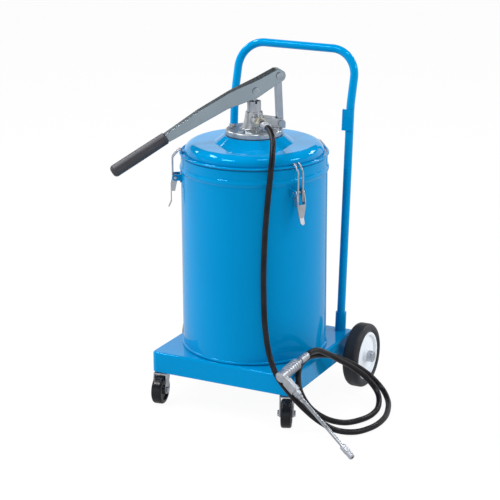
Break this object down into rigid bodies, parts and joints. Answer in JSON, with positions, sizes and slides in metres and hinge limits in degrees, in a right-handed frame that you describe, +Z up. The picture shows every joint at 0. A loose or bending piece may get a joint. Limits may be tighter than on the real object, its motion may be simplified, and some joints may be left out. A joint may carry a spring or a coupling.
{
  "type": "manual grease pump",
  "caption": "Hand-lever grease pump on a lidded drum with clamp latches, standing on a wheeled base with a push handle, with a high-pressure hose and swivel nozzle.",
  "frame": {"origin": "on the floor, under the drum axis", "axes": "+Z up along the drum axis, +Y towards the push handle, +X to the right seen from the front"},
  "size_m": [0.6136, 0.5113, 0.7825],
  "materials": {
    "paint_blue": "gloss enamel",
    "zinc_plate": "bright zinc plate",
    "bare_steel": "turned steel",
    "cast_alloy": "cast and turned",
    "chrome_pipe": "polished",
    "yellow_zinc": "yellow passivated",
    "black_rubber": "matt rubber",
    "seal_rubber": "satin rubber",
    "white_plastic": "satin moulded",
    "grip_black": "moulded",
    "lever_grey": "grey enamel"
  },
  "bodies": {
    "base": {"base_plate": "paint_blue", "axle_brackets": "paint_blue", "caster_sockets": "paint_blue", "handle_sockets": "paint_blue", "handle_frame": "paint_blue", "hanger_plate": "paint_blue", "rear_axle": "bare_steel", "axle_spacers": "zinc_plate", "axle_caps": "zinc_plate", "caster_stems": "zinc_plate", "drum": "paint_blue", "drum_gasket": "seal_rubber", "lid": "paint_blue", "latch_brackets": "paint_blue", "latch_pins": "zinc_plate", "pump_head": "cast_alloy", "flange_seal": "seal_rubber", "flange_bolts": "zinc_plate", "gland_nut": "zinc_plate", "pump_tube": "bare_steel", "foot_valve": "yellow_zinc", "link_pin": "zinc_plate", "outlet_adaptor": "yellow_zinc", "hose_ferrule_pump": "zinc_plate", "hose": "seal_rubber", "hose_ferrule_nozzle": "zinc_plate", "swivel_barrel": "zinc_plate"},
    "wheel_left": {"tyre_left": "black_rubber", "hub_left": "white_plastic"},
    "wheel_right": {"tyre_right": "black_rubber", "hub_right": "white_plastic"},
    "fork_left": {"caster_fork_left": "zinc_plate", "caster_bolt_left": "zinc_plate"},
    "fork_right": {"caster_fork_right": "zinc_plate", "caster_bolt_right": "zinc_plate"},
    "caster_roll_left": {"caster_wheel_left": "black_rubber"},
    "caster_roll_right": {"caster_wheel_right": "black_rubber"},
    "link": {"link": "zinc_plate"},
    "lever": {"pump_lever": "lever_grey", "fulcrum_pin": "zinc_plate", "rod_pin": "zinc_plate", "lever_grip": "grip_black"},
    "rod": {"piston_rod": "bare_steel", "piston": "yellow_zinc"},
    "nozzle": {"swivel_elbow": "zinc_plate", "union_nut": "zinc_plate", "nozzle_pipe": "chrome_pipe", "nozzle_coupler": "zinc_plate"},
    "latch_fr": {"latch_lever_fr": "zinc_plate"},
    "bail_fr": {"latch_bail_fr": "zinc_plate"},
    "latch_br": {"latch_lever_br": "zinc_plate"},
    "bail_br": {"latch_bail_br": "zinc_plate"},
    "latch_bl": {"latch_lever_bl": "zinc_plate"},
    "bail_bl": {"latch_bail_bl": "zinc_plate"},
    "latch_fl": {"latch_lever_fl": "zinc_plate"},
    "bail_fl": {"latch_bail_fl": "zinc_plate"}
  },
  "joints": [
    {"name": "link_rock", "type": "hinge", "parent": "base", "child": "link", "pos_m": [0.04243, 0.04243, 0.6335], "axis": [-0.7071, 0.7071, 0], "range_deg": [0, 5]},
    {"name": "lever_swing", "type": "hinge", "parent": "link", "child": "lever", "pos_m": [0.03889, 0.03889, 0.7415], "axis": [-0.7071, 0.7071, 0], "range_deg": [0, 40]},
    {"name": "rod_slide", "type": "slide", "parent": "base", "child": "rod", "axis": [0, 0, 1], "range_m": [0, 0.0476]},
    {"name": "wheel_left_spin", "type": "hinge", "parent": "base", "child": "wheel_left", "pos_m": [-0.212, 0.134, 0.075], "axis": [1, 0, 0], "continuous": true},
    {"name": "wheel_right_spin", "type": "hinge", "parent": "base", "child": "wheel_right", "pos_m": [0.212, 0.134, 0.075], "axis": [1, 0, 0], "continuous": true},
    {"name": "caster_left_swivel", "type": "hinge", "parent": "base", "child": "fork_left", "pos_m": [-0.1575, -0.1515, 0.0695], "axis": [0, 0, 1], "continuous": true},
    {"name": "caster_right_swivel", "type": "hinge", "parent": "base", "child": "fork_right", "pos_m": [0.1575, -0.1515, 0.0695], "axis": [0, 0, 1], "continuous": true},
    {"name": "caster_left_spin", "type": "hinge", "parent": "fork_left", "child": "caster_roll_left", "pos_m": [-0.15406, -0.17323, 0.0325], "axis": [0.9877, 0.1564, 0], "continuous": true},
    {"name": "caster_right_spin", "type": "hinge", "parent": "fork_right", "child": "caster_roll_right", "pos_m": [0.16574, -0.1719, 0.0325], "axis": [0.9272, 0.3746, 0], "continuous": true},
    {"name": "nozzle_swivel", "type": "hinge", "parent": "base", "child": "nozzle", "pos_m": [0.172, -0.207, 0.134], "axis": [-0.1995, -0.9476, -0.2494], "range_deg": [0, 110]},
    {"name": "latch_fr_lift", "type": "hinge", "parent": "base", "child": "latch_fr", "pos_m": [0.15415, -0.089, 0.516], "axis": [-0.5, -0.866, 0], "range_deg": [0, 70]},
    {"name": "bail_fr_swing", "type": "hinge", "parent": "latch_fr", "child": "bail_fr", "pos_m": [0.15892, -0.09175, 0.496], "axis": [-0.5, -0.866, 0], "range_deg": [-56.8, 0]},
    {"name": "latch_br_lift", "type": "hinge", "parent": "base", "child": "latch_br", "pos_m": [0.09695, 0.14928, 0.516], "axis": [0.8387, -0.5446, 0], "range_deg": [0, 70]},
    {"name": "bail_br_swing", "type": "hinge", "parent": "latch_br", "child": "bail_br", "pos_m": [0.09994, 0.1539, 0.496], "axis": [0.8387, -0.5446, 0], "range_deg": [-56.8, 0]},
    {"name": "latch_bl_lift", "type": "hinge", "parent": "base", "child": "latch_bl", "pos_m": [-0.09695, 0.14928, 0.516], "axis": [0.8387, 0.5446, 0], "range_deg": [0, 70]},
    {"name": "bail_bl_swing", "type": "hinge", "parent": "latch_bl", "child": "bail_bl", "pos_m": [-0.09994, 0.1539, 0.496], "axis": [0.8387, 0.5446, 0], "range_deg": [-56.8, 0]},
    {"name": "latch_fl_lift", "type": "hinge", "parent": "base", "child": "latch_fl", "pos_m": [-0.15415, -0.089, 0.516], "axis": [-0.5, 0.866, 0], "range_deg": [0, 70]},
    {"name": "bail_fl_swing", "type": "hinge", "parent": "latch_fl", "child": "bail_fl", "pos_m": [-0.15892, -0.09175, 0.496], "axis": [-0.5, 0.866, 0], "range_deg": [-56.8, 0]}
  ],
  "couplings": [
    {"joint": "link_rock", "follows": "lever_swing", "ratio": 0.12},
    {"joint": "rod_slide", "follows": "lever_swing", "m_per_rad": 0.06797},
    {"joint": "bail_fr_swing", "follows": "latch_fr_lift", "ratio": -0.81},
    {"joint": "bail_br_swing", "follows": "latch_br_lift", "ratio": -0.81},
    {"joint": "bail_bl_swing", "follows": "latch_bl_lift", "ratio": -0.81},
    {"joint": "bail_fl_swing", "follows": "latch_fl_lift", "ratio": -0.81}
  ]
}
